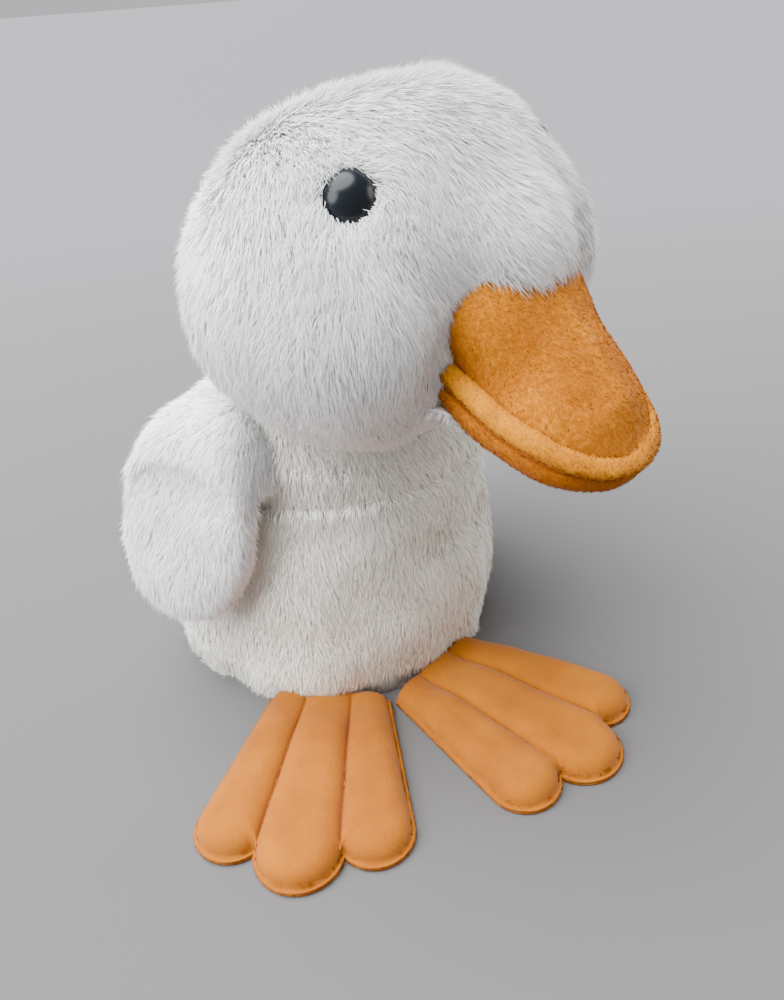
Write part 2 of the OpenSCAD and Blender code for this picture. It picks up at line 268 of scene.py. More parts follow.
FUR_HEAD = tints("fur_head", [
    (0.96, 0.96, 0.955), (0.94, 0.935, 0.92),
    (0.97, 0.97, 0.97), (0.90, 0.89, 0.87)])
# Body and neck fur are cream: partly the fabric's own tone and partly painted warm shade, as under the head's
# shadow.
FUR_BODY_CREAM_AND_SHADE = tints("fur_body_cream_and_shade", [
    (0.955, 0.925, 0.84), (0.935, 0.90, 0.80),
    (0.965, 0.94, 0.88), (0.89, 0.85, 0.75)])
FUZZ_BILL = tints("fuzz_bill", [
    (0.52, 0.165, 0.001), (0.45, 0.13, 0.0005),
    (0.60, 0.21, 0.002), (0.38, 0.095, 0.0005)])
# The rim's fuzz is lighter and yellower than the bill's fuzz: painted light on the rim's rounded top.
FUZZ_LIP_PAINTED_LIGHT = tints("fuzz_lip_painted_light", [
    (0.55, 0.19, 0.001), (0.48, 0.155, 0.0005),
    (0.62, 0.245, 0.002), (0.40, 0.11, 0.0005)])
# The lower bill's fuzz is darker than the bill's fuzz: painted shade under the upper bill.
FUZZ_LOW_PAINTED_SHADE = tints("fuzz_low_painted_shade", [
    (0.45, 0.13, 0.001), (0.38, 0.10, 0.0005),
    (0.51, 0.165, 0.001), (0.32, 0.075, 0.0005)])
FUZZ_FOOT = tints("fuzz_foot", [
    (0.32, 0.096, 0.0005), (0.285, 0.08, 0.0003),
    (0.37, 0.122, 0.001), (0.25, 0.066, 0.0003)])


def eye_material():
    mat, nodes, links, bsdf = new_material("eye_black")
    coord = nodes.new("ShaderNodeTexCoord")
    haze = new_noise(nodes, 300.0, 5.0)
    ramp = nodes.new("ShaderNodeMapRange")
    set_inputs(ramp, {"To Min": 0.16, "To Max": 0.30})
    wire(links, coord, "Object", haze, "Vector")
    wire(links, haze, "Fac", ramp, "Value")
    wire(links, ramp, "Result", bsdf, "Roughness")
    set_inputs(bsdf, {"Base Color": (0.006, 0.008, 0.011, 1), "Specular IOR Level": 0.22})
    return mat


EYE = eye_material()


# ------------------------------------------------------------------ mesh helpers
def make_object(name, verts, faces, material):
    """A mesh piece from points in the duck's frame, in millimetres."""
    mesh = bpy.data.meshes.new(name)
    mesh.from_pydata([tuple(v) for v in to_world(verts)], [], [tuple(int(i) for i in f) for f in faces])
    mesh.materials.append(material)
    mesh.validate()
    mesh.update()
    mesh.shade_smooth()
    return add_object(name, mesh)


def weld(obj, distance):
    """Joins the points that meet at a pole or seam, and turns all faces outward."""
    bm = bmesh.new()
    bm.from_mesh(obj.data)
    bmesh.ops.remove_doubles(bm, verts=bm.verts, dist=distance)
    bmesh.ops.recalc_face_normals(bm, faces=bm.faces)
    bm.to_mesh(obj.data)
    bm.free()


def grid_faces(nu, nv, closed_u=False, offset=0, flip=False):
    """The faces of nv rows of nu points."""
    faces = []
    for j in range(nv - 1):
        row, above = offset + j * nu, offset + (j + 1) * nu
        for i in range(nu if closed_u else nu - 1):
            k = (i + 1) % nu
            f = (row + i, row + k, above + k, above + i)
            faces.append(f[::-1] if flip else f)
    return faces


def wall_faces(nu, nv, closed_u=False, flip=False):
    """The faces that join two stacked grids along their open edges."""
    n = nu * nv
    faces = []
    for j in (0, nv - 1):
        for i in range(nu if closed_u else nu - 1):
            a, b = j * nu + i, j * nu + (i + 1) % nu
            faces.append((b, a, n + a, n + b) if (j == 0) != flip else (a, b, n + b, n + a))
    if not closed_u:
        for i in (0, nu - 1):
            for j in range(nv - 1):
                a, b = j * nu + i, (j + 1) * nu + i
                faces.append((a, b, n + b, n + a) if (i == 0) != flip else (b, a, n + a, n + b))
    return faces


def capped_faces(nu, nv, start=0):
    """The faces of a closed tube of nv rings, with a face at each end."""
    last = start + (nv - 1) * nu
    ends = [tuple(range(start, start + nu))[::-1], tuple(range(last, last + nu))]
    return grid_faces(nu, nv, True, start) + ends


def shell(outer, thickness, nu, nv, closed_u=False):
    """A closed sheet: the grid of points outer, and the same grid moved inward by thickness."""
    outer = np.asarray(outer, float).reshape(nv, nu, 3)
    if closed_u:
        du = np.roll(outer, -1, 1) - np.roll(outer, 1, 1)
    else:
        du = np.gradient(outer, axis=1)
    dv = np.gradient(outer, axis=0)
    normal = unit(np.cross(du, dv))
    inner = outer - normal * thickness
    faces = grid_faces(nu, nv, closed_u) + grid_faces(nu, nv, closed_u, nu * nv, True)
    faces += wall_faces(nu, nv, closed_u)
    return np.concatenate([outer.reshape(-1, 3), inner.reshape(-1, 3)]), faces


def surface_samples(obj, count, rng, keep=None):
    """Random points and normals on a piece's mesh, in the duck's frame, in millimetres."""
    mesh = obj.data
    mesh.calc_loop_triangles()
    n, t = len(mesh.vertices), len(mesh.loop_triangles)
    co, no = np.empty(n * 3), np.empty(n * 3)
    mesh.vertices.foreach_get("co", co)
    mesh.vertex_normals.foreach_get("vector", no)
    tri = np.empty(t * 3, dtype=np.int32)
    mesh.loop_triangles.foreach_get("vertices", tri)
    co, no, tri = co.reshape(-1, 3) * 1000 - SHIFT, no.reshape(-1, 3), tri.reshape(-1, 3)
    a, b, c = co[tri[:, 0]], co[tri[:, 1]], co[tri[:, 2]]
    area = np.linalg.norm(np.cross(b - a, c - a), axis=1)
    if keep is not None:
        area = area * keep((a + b + c) / 3, unit(np.cross(b - a, c - a)))
    pick = rng.choice(t, size=int(count), p=area / area.sum())
    r1, r2 = np.sqrt(rng.random(len(pick))), rng.random(len(pick))
    w = np.stack([1 - r1, r1 * (1 - r2), r1 * r2], -1)
    pos = np.einsum("ij,ijk->ik", w, co[tri[pick]])
    nrm = unit(np.einsum("ij,ijk->ik", w, no[tri[pick]]))
    return pos, nrm


def strand_object(name, base, mid, tip, width, nrm, materials, rng):
    """One mesh of flat tapered fibres, shaded softly by the skin that they grow on."""
    n = len(base)
    axis = unit(tip - base)
    side = unit(np.cross(axis, nrm + rng.normal(scale=0.35, size=nrm.shape)))
    w = width[:, None]
    verts = np.stack([base - side * w, base + side * w, mid + side * w * 0.8, mid - side * w * 0.8, tip], 1)
    left, right = unit(nrm - side * 0.4), unit(nrm + side * 0.4)
    norms = np.stack([left, right, right, left, unit(nrm + axis * 0.35)], 1)
    first = (np.arange(n) * 5)[:, None]
    loops = (first + np.array([[0, 1, 2, 3, 3, 2, 4]])).reshape(-1)
    starts = (np.arange(n)[:, None] * 7 + np.array([0, 4])).reshape(-1)
    mesh = bpy.data.meshes.new(name)
    mesh.vertices.add(n * 5)
    mesh.vertices.foreach_set("co", to_world(verts.reshape(-1, 3)).astype(np.float32).reshape(-1))
    mesh.loops.add(n * 7)
    mesh.loops.foreach_set("vertex_index", loops.astype(np.int32))
    mesh.polygons.add(n * 2)
    mesh.polygons.foreach_set("loop_start", starts.astype(np.int32))
    tint = rng.choice(len(materials), size=n, p=[0.42, 0.26, 0.24, 0.08])
    for m in materials:
        mesh.materials.append(m)
    mesh.polygons.foreach_set("material_index", np.repeat(tint, 2).astype(np.int32))
    mesh.polygons.foreach_set("use_smooth", np.ones(n * 2, dtype=bool))
    mesh.update()
    mesh.normals_split_custom_set_from_vertices(norms.reshape(-1, 3).tolist())
    return add_object(name, mesh)


def grow(name, skin, count, seed, length, lift, flow, width, materials, tuft, keep=None, wild=0.3,
         groups=1):
    """Fur on a skin. length, lift (degrees) and flow are functions of the root points and normals."""
    rng = np.random.default_rng(seed)
    count = int(count * PILE)
    pos, nrm = surface_samples(skin, count, rng, keep)
    long = length(pos, nrm) * rng.uniform(0.72, 1.15, count)
    way = flow(pos, nrm) + rng.normal(scale=wild, size=pos.shape)
    way = unit(way - nrm * np.sum(way * nrm, 1, keepdims=True))
    rise = np.radians(lift(pos, nrm) + rng.normal(scale=7, size=count))[:, None]
    root_way = unit(nrm * np.sin(rise + 0.25) + way * np.cos(rise + 0.25))
    tip_way = unit(nrm * np.sin(rise - 0.3) + way * np.cos(rise - 0.3))
    base = pos - nrm * 0.5
    mid = base + root_way * long[:, None] * 0.5
    tip = mid + tip_way * long[:, None] * 0.5
    size, pull = tuft
    centres = max(20, count // 14)
    tree = kdtree.KDTree(centres)
    for i in range(centres):
        tree.insert(pos[i], i)
    tree.balance()
    near = np.array([tree.find(p)[1] for p in pos])
    k = (pull * rng.uniform(0.4, 1.0, count) * smooth(size * 3, size * 0.5,
         np.linalg.norm(pos - pos[near], axis=1)))[:, None]
    shift = (tip[near] - base[near]) - (tip - base) + (base[near] - base) * 0.75
    tip = tip + shift * k
    mid = mid + shift * k * 0.4
    mid[:, 2], tip[:, 2] = np.maximum(mid[:, 2], 0.5), np.maximum(tip[:, 2], 0.2)
    wide = width * rng.uniform(0.75, 1.2, count)
    made = []
    for g, part in enumerate(np.array_split(np.arange(count), groups)):
        made.append(strand_object(f"{name}_{g + 1}" if groups > 1 else name, base[part], mid[part],
                                  tip[part], wide[part], nrm[part], materials, rng))
    return made


# ------------------------------------------------------------------ sleeve
# Hollows pressed into the sleeve: angle in degrees, height, half width in degrees, half height, depth.
DENTS = ((-38, 84, 16, 16, 7.0), (-86, 66, 22, 9, 2.0), (-60, 40, 9, 22, 1.8))


def sleeve_r(s):
    return HEM_R - (HEM_R - TOP_R) * (np.maximum(s, 0) / SLEEVE_H) ** 2


def sleeve_points(nu, heights, inset, dents=True):
    """Rings of the leaning sleeve, each at a height above the floor."""
    pts = []
    a = circle(nu)
    around = np.degrees(a) - 360 * (np.degrees(a) > 180)
    for h in heights:
        r = sleeve_r(h) - inset
        ring = np.stack([r * np.cos(a), r * np.sin(a) - h * math.tan(LEAN), np.full(nu, float(h))], -1)
        if dents:
            out = unit(ring * [1, 1, 0])
            calm = float(smooth(SLEEVE_H - 2, 74, h))
            fold = 1.1 * np.sin(a * 9 + 0.8 + h * 0.02) * np.sin(a * 4 + 1.3) * smooth(85, 30, h)
            fold += 1.6 * waves(ring, 55, 5)
            ring = ring + out * fold[:, None] * calm
            for angle, z, wide, tall, deep in DENTS:
                d = (around - angle) / wide
                ring = ring - out * (calm * deep * np.exp(-d ** 2 - ((h - z) / tall) ** 2))[:, None]
        pts.append(ring)
    return np.array(pts)


def make_sleeve():
    nu, heights = 220, np.concatenate([[0.6], np.linspace(2, SLEEVE_H, 46)])
    pts = sleeve_points(nu, heights, BACKING_IN)
    tuck = 3.0 * smooth(14, 0, heights)
    pts[:, :, :2] *= (1 - tuck / HEM_R)[:, None, None]
    skin = make_object("sleeve_skin", *shell(pts, BACKING_T, nu, len(heights), True), FUR_SKIN)
    seat(skin, "sleeve", "body_fur")

    nu, nv = 160, 8
    band = sleeve_points(nu, np.linspace(0.0, 14, nv), HEM_IN, False)
    hem = make_object("hem_facing", *shell(band, 1.6, nu, nv, True), FUR_SKIN)
    seat(hem, "sleeve", "hem_band")

    nu, heights = 200, np.linspace(14.5, SLEEVE_H, 30)
    lining = sleeve_points(nu, heights, 8.6, False)
    a = circle(nu)
    for j, h in enumerate(heights):
        wrinkle = 0.9 * np.sin(a * 17 + h * 0.05) * np.sin(a * 5 + h * 0.03)
        out = unit(lining[j] * [1, 1, 0])
        lining[j] += out * (wrinkle - 0.4)[:, None]
    tube = make_object("sleeve_lining", *shell(lining, LINING_T, nu, len(heights), True), LINING)
    seat(tube, "sleeve", "body_lining")
    return skin


# ------------------------------------------------------------------ neck
def neck_ring(t, nu, inset):
    """A ring between the sleeve's top (t = 0) and the head's opening (t = 1)."""
    a = circle(nu)
    low = np.stack([(TOP_R - inset) * np.cos(a), (TOP_R - inset) * np.sin(a) - SLEEVE_H * math.tan(LEAN),
                    np.full(nu, SLEEVE_H - 0.5)], -1)
    k = math.sqrt(1 - (NECK_D / HEAD_R[1]) ** 2)
    top = np.stack([(HEAD_R[0] * k - inset) * np.cos(a), (HEAD_R[1] * k - inset) * np.sin(a),
                    np.full(nu, -NECK_D + 2.0)], -1)
    top = turn_x(top, NECK_TILT) + HEAD_C
    ring = low * (1 - t) + top * t
    centre = ring.mean(0)
    return ring + unit((ring - centre) * [1, 1, 0.2]) * (1.5 * math.sin(math.pi * t))


def make_neck():
    """The neck's fur and lining, each as a lower ring and an upper ring."""
    made = []
    nu, nv = 160, 14
    for name, inset, thick, material in (("neck_skin", BACKING_IN, BACKING_T, FUR_SKIN),
                                         ("neck_lining", 9.0, LINING_T, LINING)):
        for part, t0, t1 in (("low", 0.0, 0.56), ("high", 0.46, 1.0)):
            pts = np.array([neck_ring(t, nu, inset) for t in np.linspace(t0, t1, nv)])
            verts, faces = shell(pts, thick, nu, nv, True)
            made.append(make_object(f"{name}_{part}", verts, faces, material))
    return made


# ------------------------------------------------------------------ head
def lobe(d, axis, narrow):
    """A smooth bump over the directions near an axis and its mirror image."""
    a = unit(np.array(axis, float))
    near = np.maximum(d @ a, d @ (a * [-1, 1, 1]))
    return np.exp(-narrow * (1 - near))


def head_surface(d, inset=0.0):
    """Point of the head's surface in direction d from the head's centre."""
    r = 1.0 / np.sqrt(((d / (HEAD_R - inset)) ** 2).sum(1))
    p = d * r[:, None]
    side = np.abs(p[:, 0])
    back = smooth(0.40, 0.95, d @ unit([0, 0.82, 0.57]))
    crown = lobe(d, (0.25, 0.25, 0.93), 14)
    temple = lobe(d, (0.70, -0.12, 0.71), 12)
    cheek = lobe(d, (0.70, -0.70, -0.10), 16)
    brow = lobe(d, (0.0, -0.95, 0.30), 24)
    far_cheek = np.exp(-11 * (1 - d @ unit([0.64, -0.76, 0.05])))
    corner = np.exp(-(((side - 34) / 13) ** 2 + ((p[:, 1] + 54) / 20) ** 2 + ((p[:, 2] + 6) / 26) ** 2))
    socket = np.exp(-(((side - 51) / 11) ** 2 + ((p[:, 1] + 31) / 11) ** 2 + ((p[:, 2] - 36.5) / 11) ** 2))
    lump = waves(p + [200, 0, 0], 60, 11) * 0.8
    full = -8.5 * back - 3.0 * crown + 4.0 * temple + 5.5 * cheek + 7.0 * brow + 3.5 * far_cheek
    full = full - 8.5 * corner - 1.6 * socket + lump
    return p + d * full[:, None]


def make_head():
    bm = bmesh.new()
    bmesh.ops.create_icosphere(bm, subdivisions=6, radius=1.0)
    d = unit(np.array([v.co for v in bm.verts], float))
    p = head_surface(d, 6.0)
    local = turn_x(p, -NECK_TILT)
    bill = turn_x(p + HEAD_C - HINGE, -BILL_PITCH)
    for v, q in zip(bm.verts, to_world(p + HEAD_C)):
        v.co = q
    below = local[:, 2] < -NECK_D
    across, forward, up = np.abs(bill[:, 0]), bill[:, 1], bill[:, 2]
    inside_mouth = (across < CORNER_W - 4) & (forward < -2) & (up < 26) & (up > -9)
    chin = (across < CORNER_W + 1) & (up <= -6) & (forward < 22)
    gone = [v for v, k in zip(bm.verts, below | inside_mouth | chin) if k]
    bmesh.ops.delete(bm, geom=gone, context="VERTS")
    mesh = bpy.data.meshes.new("head_skin")
    bm.to_mesh(mesh)
    bm.free()
    mesh.materials.append(FUR_SKIN)
    mesh.shade_smooth()
    skin = add_object("head_skin", mesh)
    solid = skin.modifiers.new("backing", "SOLIDIFY")
    solid.thickness, solid.offset = BACKING_T / 1000, -1
    seat(skin, "head", "head_fur")
    return skin


def make_wadding():
    """The head's fibre filling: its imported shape, pulled in under the fur's backing."""
    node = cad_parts["head_stuffing"]
    mesh = node.data.copy()
    mesh.name = "head_wadding"
    mesh.transform(node.matrix_world)
    co = np.empty(len(mesh.vertices) * 3)
    mesh.vertices.foreach_get("co", co)
    q = co.reshape(-1, 3) * 1000 - SHIFT - HEAD_C
    d = unit(q)
    limit = np.linalg.norm(head_surface(d, 8.4), axis=1)
    r = np.linalg.norm(q, axis=1)
    q = d * np.minimum(r, limit)[:, None]
    mesh.vertices.foreach_set("co", to_world(q + HEAD_C).astype(np.float32).reshape(-1))
    mesh.materials.clear()
    mesh.materials.append(FIBRE)
    mesh.update()
    seat(add_object("head_wadding", mesh), "head", "head_stuffing")


def from_eye(q):
    """For points from the head's centre: which side's mirror applies, and their offset from that eye."""
    mirror = np.where(q[:, :1] > 0, [-1, 1, 1], [1, 1, 1])
    return mirror, q - EYE_AT * mirror


def swirl(pos, scale, seeds):
    """A slow wandering of the nap, one noise for each axis; a seed of None leaves its axis still."""
    return np.stack([0 * pos[:, 0] if s is None else waves(pos, scale, s) for s in seeds], -1)


def head_flow(pos, nrm):
    """The nap runs down from the crown, and forward over the brow and the bill's root."""
    q = pos - HEAD_C
    top = (smooth(14, 56, q[:, 2]) * smooth(42, 2, q[:, 1]))[:, None]
    flow = np.array([[0.0, 0.10, -1.0]]) * (1 - top) + np.array([[0.0, -1.0, -0.75]]) * top
    bill = turn_x(pos - HINGE, -BILL_PITCH)
    near = -((np.abs(bill[:, 0]) / 40) ** 4) - ((bill[:, 1] + 6) / 26) ** 2 - ((bill[:, 2] - 26) / 30) ** 4
    near = np.exp(near)[:, None]
    flow = flow * (1 - 0.8 * near) + turn_x([0.0, -1.0, -0.35], BILL_PITCH) * 0.8 * near
    off = from_eye(q)[1]
    ring = np.exp(-(np.linalg.norm(off, axis=1) / 14) ** 2)[:, None]
    ahead = smooth(0.0, 0.6, -unit(off)[:, 1:2])
    flow = flow * (1 - 0.6 * ring) + unit(off) * ring * (1.2 - 2.8 * ahead)
    return flow + swirl(pos, 42, (21, 22, 23)) * 0.35


def head_length(pos, nrm):
    bill = turn_x(pos - HINGE, -BILL_PITCH)
    near = np.exp(-((bill[:, 1] + 4) / 12) ** 2 - ((bill[:, 2] - 16) / 26) ** 4)
    beside = near * smooth(16, 26, np.abs(bill[:, 0])) * smooth(52, 40, np.abs(bill[:, 0]))
    above = near * smooth(24, 12, np.abs(bill[:, 0]))
    ring = np.exp(-(np.linalg.norm(from_eye(pos - HEAD_C)[1], axis=1) / 11) ** 2)
    return 10.5 + 0.8 * waves(pos, 30, 31) - 5.0 * beside + 4.5 * above - 3.0 * ring


def head_lift(pos, nrm):
    q = pos - HEAD_C
    return 31 + 3 * smooth(10, 55, q[:, 2]) + 5 * waves(pos, 24, 33)


def off_eye(pos, nrm):
    """Keeps the faces that the eye doesn't cover."""
    mirror, far = from_eye(pos - HEAD_C)
    far = far - EYE_N * mirror * np.sum(far * EYE_N * mirror, 1, keepdims=True)
    reach = EYE_R - 2.4 - 1.6 * smooth(0.2, 0.8, -unit(far)[:, 1])
    return (np.linalg.norm(far, axis=1) > reach).astype(float)


# ------------------------------------------------------------------ bill
def bill_outline(inset, back=0.0):
    """Outline of the bill from the right mouth corner round the tip to the left one."""
    w, c, tip = BILL_W - inset, CORNER_W - inset, BILL_L - inset
    a = np.linspace(0, math.pi / 2, 40)
    p = 2 / 2.2
    x = w * np.cos(a).clip(0) ** p
    y = -SIDE_L - (tip - SIDE_L) * np.sin(a).clip(0) ** p
    ys = np.linspace(back, SIDE_L, 12, endpoint=False)
    side = np.stack([c + (w - c) * smooth(0, SIDE_L, ys), -ys], -1)
    right = np.concatenate([side, np.stack([x, y], -1)])
    half = np.concatenate([right, (right * [-1, 1])[-2::-1]])
    step = np.r_[0, np.cumsum(np.linalg.norm(np.diff(half, axis=0), axis=1))]
    at = np.linspace(0, step[-1], 121)
    return np.stack([np.interp(at, step, half[:, 0]), np.interp(at, step, half[:, 1])], -1)


def half_width(y, inset):
    line = bill_outline(inset, -12.0)
    right = line[: len(line) // 2 + 1]
    order = np.argsort(right[:, 1])
    return np.interp(y, right[order, 1], right[order, 0])


def make_upper_bill():
    inset, nv, nu = 5.6, 60, 61
    end = -(BILL_L - inset)
    t = np.linspace(0, 1, nv)
    ys = 10 + (end - 10) * (1 - (1 - t) ** 1.6)
    pts = np.empty((nv, nu, 3))
    for j, y in enumerate(ys):
        w = max(float(half_width(y, inset)), 0.3)
        near_tip = smooth(-30, end, y)
        edge = 6.0 - 1.2 * near_tip
        rise = 38.5 - 0.44 * max(-y, 0.0) - edge
        rise = max(rise, 2.2) * float(smooth(end, end + 13, y)) ** 0.55
        a = np.linspace(0, math.pi, nu)
        box = 2 / (1.65 + 1.1 * float(smooth(-30, -2, y)))
        up = np.sin(a).clip(0) ** box
        puff = 6.0 * float(smooth(-26, -2, y)) * 4 * up * (1 - up)
        x = np.sign(np.cos(a)) * (w * np.abs(np.cos(a)) ** box + puff * np.abs(np.cos(a)) ** 0.5)
        z = edge + rise * up
        crease = np.exp(-(x / 2.6) ** 2) * 0.9 * (1 - 0.5 * near_tip)
        z = z + crease * float(smooth(end, end + 8, y))
        pts[j] = np.stack([x, np.full(nu, y), z], -1)
    pts += (waves(pts.reshape(-1, 3), 26, 41) * 0.45).reshape(nv, nu, 1) * [0.5, 0.2, 1]
    verts, faces = shell(pts[:, ::-1], 1.0, nu, nv)
    cover = make_object("upper_bill_plush", from_bill(verts), faces, BILL_TOP)
    seat(cover, "head", "upper_bill_cover")

    # The rolled lip's section: inset from the outline, and height above the mouth's plane.
    section = np.array([[6.9, 4.4], [6.5, 6.2], [5.2, 7.4], [3.2, 7.2], [1.2, 6.0], [-0.2, 4.3], [-0.7, 2.7],
                        [-0.1, 1.3], [1.6, 0.7], [4.0, 0.6], [6.9, 0.7], [7.4, 2.6]])
    lines = []
    for i, z in section:
        line = bill_outline(i, -3.0)
        front = smooth(-40, -66, line[:, 1])
        lines.append(np.column_stack([line, z * (1 - 0.22 * front)]))
    rim = np.array(lines).transpose(1, 0, 2)
    n_line, n_sec = rim.shape[:2]
    wob = waves(rim[:, 0] * [1, 1, 0], 11, 43) * 0.35 + waves(rim[:, 0] * [1, 1, 0], 30, 44) * 0.5
    rim[:, :8, 2] += wob[:, None] * np.array([0.2, 0.6, 1, 1, 0.9, 0.6, 0.4, 0.2])
    lip = make_object("upper_bill_lip", from_bill(rim.reshape(-1, 3)), capped_faces(n_sec, n_line), BILL_LIP_PAINTED_LIGHT)
    rounding = lip.modifiers.new("round", "SUBSURF")
    rounding.levels = rounding.render_levels = 1
    seat(lip, "head", "upper_bill_rim")
    return cover, lip


def cloth_plate(name, inset, z, back):
    """A cloth face of the mouth: a thin closed plate with the bill's outline."""
    rings = np.linspace(0, 1, 14)
    line = bill_outline(inset, back)
    centre = np.array([0.0, -30.0])
    pts = []
    for r in rings:
        flat = centre + (line - centre) * (1 - r)
        flat[:, 1] = np.minimum(flat[:, 1], -back)
        pts.append(np.column_stack([flat, z + 0.15 * waves(with_zero(flat), 12, 51)]))
    verts, faces = shell(np.array(pts), LINING_T, len(line), len(rings), True)
    return make_object(name, from_bill(verts), faces, MOUTH)


def make_mouth():
    back = 0.8
    for name, body, node, under, inset, z in (
            ("palate_cloth", "head", "upper_mouth_lining", "upper_bill_lip", 0.8, 0.55),
            ("tongue_side_cloth", "jaw", "lower_mouth_lining", "lower_bill_plush", 1.2, -0.35)):
        plate = cloth_plate(name, inset, z, back)
        seat(plate, body, node)


def outline_stack(section, back):
    """The bill's outline at each (inset, height) of a section."""
    lines = []
    for inset, z in section:
        line = bill_outline(inset, back)
        lines.append(np.column_stack([line, np.full(len(line), z)]))
    return np.array(lines)


def make_lower_bill():
    pts = outline_stack([(1.2, -0.45), (0.6, -1.5), (0.4, -3.6), (1.2, -6.2), (3.2, -8.6), (6.6, -10.0),
                         (12.0, -10.7), (19.0, -11.0), (26.0, -11.1)], 3.0)
    nv, nu = pts.shape[:2]
    below_seam = np.linspace(0, 1, nv)[:, None, None] > 0.2
    pts += (waves(pts.reshape(-1, 3), 22, 46) * 0.4).reshape(nv, -1, 1) * [0.4, 0.4, 1] * below_seam
    verts, faces = shell(pts, 1.0, nu, nv)
    low = make_object("lower_bill_plush", from_bill(verts), faces, BILL_LOW_PAINTED_SHADE)
    seat(low, "jaw", "lower_bill_cover")

    pts = outline_stack([(24, -2.4), (12, -2.4), (6.5, -2.5), (4.4, -3.4), (3.6, -5.4), (4.6, -7.4),
                         (7.5, -8.6), (12, -9.2), (24, -9.4)], 5.0)
    nv, nu = pts.shape[:2]
    fill = make_object("lower_bill_wadding", from_bill(pts.reshape(-1, 3)), capped_faces(nu, nv), FIBRE)
    seat(fill, "jaw", "lower_bill_fill")

    nu, nv = 48, 24
    a = circle(nu)
    pts = []
    for t in np.linspace(0, 1, nv):
        close = math.sqrt(max(1 - t ** 5, 0.0004))
        crush = 1 + 0.10 * np.sin(5 * a + 6 * t)
        pts.append(np.column_stack([12.5 * close * np.cos(a), np.full(nu, -2.6 - 22.5 * t),
                                    -6.7 + 2.7 * close ** 0.5 * np.sin(a) * crush]))
    verts, faces = shell(np.array(pts), 0.4, nu, nv, True)
    pouch = make_object("thumb_pocket_cloth", from_bill(verts), faces, LINING)
    seat(pouch, "jaw", "thumb_pocket")
    return low


# ------------------------------------------------------------------ chin
def make_chin():
    """The fur gusset from under the lower bill back to the neck opening."""
    nu, nv = 61, 34
    t = np.repeat(np.linspace(0, 1, nv), nu)
    s = np.tile(np.linspace(-1, 1, nu), nv)
    under = np.column_stack([s * (CORNER_W + 5 + 4 * t), -16 + 52 * t, np.full(len(s), -10.5)])
    skin = head_surface(unit(from_bill(under) - HEAD_C), 6.5) + HEAD_C
    lip = from_bill(np.column_stack([s * (CORNER_W - 1), np.full(len(s), -20.0), np.full(len(s), -9.0)]))
    blend = smooth(0.0, 0.35, t)[:, None]
    pts = skin * blend + (lip * 0.6 + skin * 0.4) * (1 - blend)
    return make_object("chin_skin", *shell(pts.reshape(nv, nu, 3)[:, ::-1], 1.0, nu, nv), FUR_SKIN)


# ------------------------------------------------------------------ eyes
def make_eyes():
    rings, seg, rim = 26, 64, -0.25
    for left, side in enumerate(SIDES):
        flip = np.array([-1.0 if left else 1.0, 1, 1])
        n = unit(EYE_N * flip)
        centre = HEAD_C + EYE_AT * flip - n * 8.4
        u = unit(np.cross(n, [0, 0, 1.0]))
        v = np.cross(n, u)
        verts = []
        for j in range(rings):
            a = rim + (math.pi / 2 - rim) * j / (rings - 1)
            for i in range(seg):
                b = 2 * math.pi * i / seg
                r, h = EYE_R * math.cos(a), EYE_R * math.sin(a)
                verts.append(centre + u * (r * math.cos(b)) + v * (r * math.sin(b)) + n * h)
        faces = grid_faces(seg, rings, True)
        faces.append(tuple(range(seg))[::-1])
        eye = make_object(f"eye_dome_{side}", np.array(verts), faces, EYE)
        weld(eye, 1e-5)
        seat(eye, "head", f"eye_{side}")


# ------------------------------------------------------------------ wings
WING_ROOT, WING_HANG, WING_SPLAY = np.array([-66.5, -4.0, 117.0]), math.radians(8.5), math.radians(12)
WING_L, WING_W, WING_EDGE_N = 82.0, 72.0, 96


def wing_outline(inset):
    """The wing seen from the duck's side: (back, up) from its root, swept back to its tip."""
    a = circle(WING_EDGE_N)
    up = (WING_L / 2 - 2 - inset) * np.sin(a)
    reach = (WING_W / 2 - 6.5 - inset) * np.sign(np.cos(a))
    back = reach * np.abs(np.cos(a)) ** (0.72 - 0.08 * np.sin(a)) - 0.16 * up
    return np.column_stack([back - 2, up - WING_L / 2 + 9.5])


def wing_place(q, left):
    p = turn_y(turn_z(q, WING_SPLAY), WING_HANG) + WING_ROOT
    return p * [-1, 1, 1] if left else p


def make_wing_shell(name, left, inset, material):
    """A padded teardrop: two crowned faces that meet at the wing's edge seam."""
    rings = 16
    line = wing_outline(inset)
    centre = line.mean(0)
    half = 6.2 - inset * 0.8
    layers = []
    for face in (1, -1):
        for r in (np.linspace(0, 1, rings) if face > 0 else np.linspace(1, 0, rings)[1:]):
            flat = centre + (line - centre) * r
            puff = math.sqrt(max(1 - r ** 2.8, 0))
            thin = 0.66 + 0.34 * smooth(-4, -36, flat[:, 1])
            layers.append(np.column_stack([flat, face * half * puff * thin]))
    flat = np.concatenate(layers)
    lump = 0.7 * waves(flat + [0, 0, 40 * left], 34, 61)
    local = np.column_stack([-6.2 - flat[:, 2] + lump, flat[:, 0], flat[:, 1]])
    faces = grid_faces(WING_EDGE_N, len(layers), True)
    skin = make_object(name, wing_place(local, left), faces, material)
    weld(skin, 2e-5)
    skin.data.shade_smooth()
    return skin


def make_wing(left):
    wing = f"wing_{SIDES[left]}"
    skin = make_wing_shell(f"{wing}_skin", left, 1.5, FUR_SKIN)
    fill = make_wing_shell(f"{wing}_wadding", left, 3.2, FIBRE)
    seat(skin, wing, f"{wing}_fur")
    seat(fill, wing, f"{wing}_fill")
    return skin


